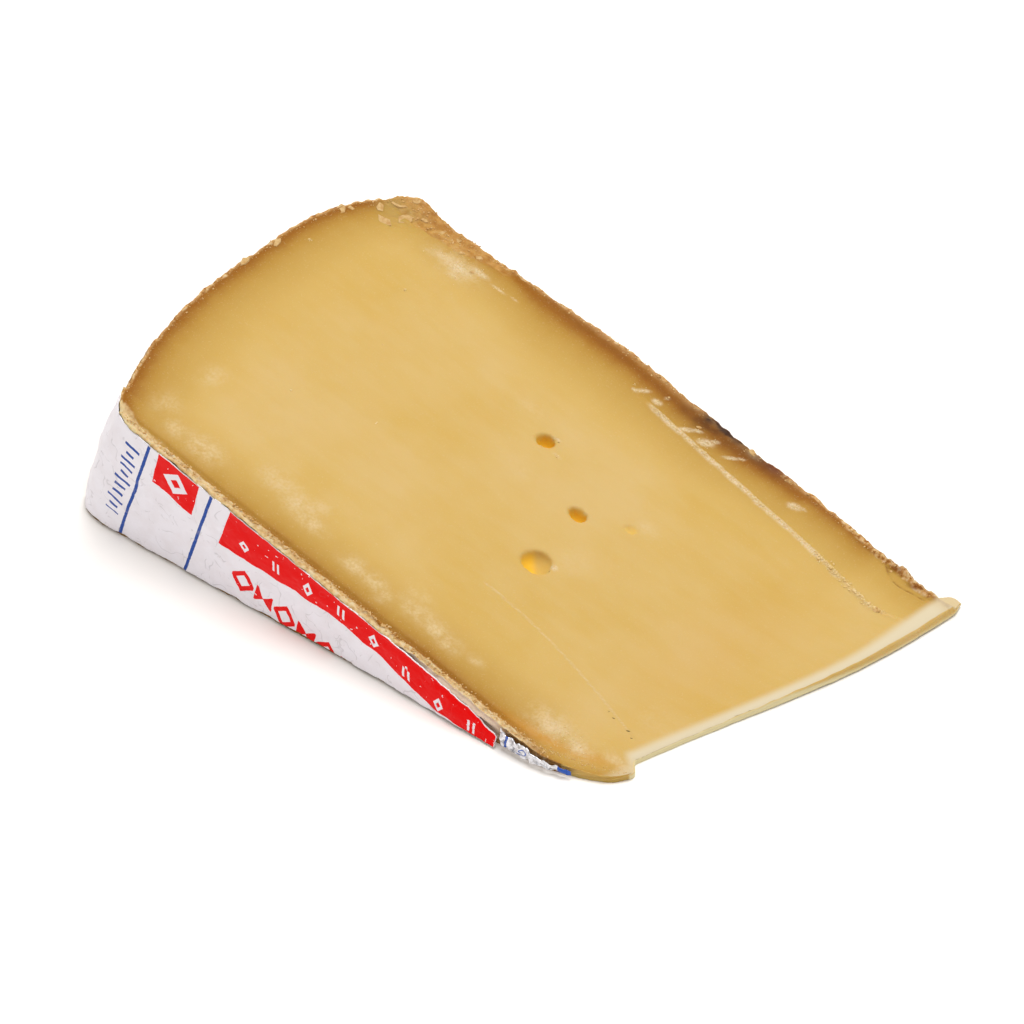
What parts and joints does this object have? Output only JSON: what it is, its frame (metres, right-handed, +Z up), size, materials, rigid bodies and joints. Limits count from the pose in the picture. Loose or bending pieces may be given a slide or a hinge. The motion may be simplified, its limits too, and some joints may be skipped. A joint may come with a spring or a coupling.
{
  "type": "cheese wedge",
  "caption": "Cut wedge of hard washed-rind cheese lying on its cut face, with small eyes, a crumbly brown rind and a torn foil label on one flat rind.",
  "frame": {"origin": "on the table under the middle of the wedge's box", "axes": "+X from the rind heel to the thin tip, +Y from the labelled flat rind to the bare one, +Z up"},
  "size_m": [0.158, 0.0892, 0.0321],
  "materials": {
    "cheese": "golden waxy paste with a dry light brown rind",
    "label": "creased foil-backed white paper, satin, printed in red and blue",
    "foil": "crumpled silver foil, glossy"
  },
  "bodies": {
    "root": {"cheese": "cheese", "label": "label", "label_end": "foil"}
  },
  "joints": []
}
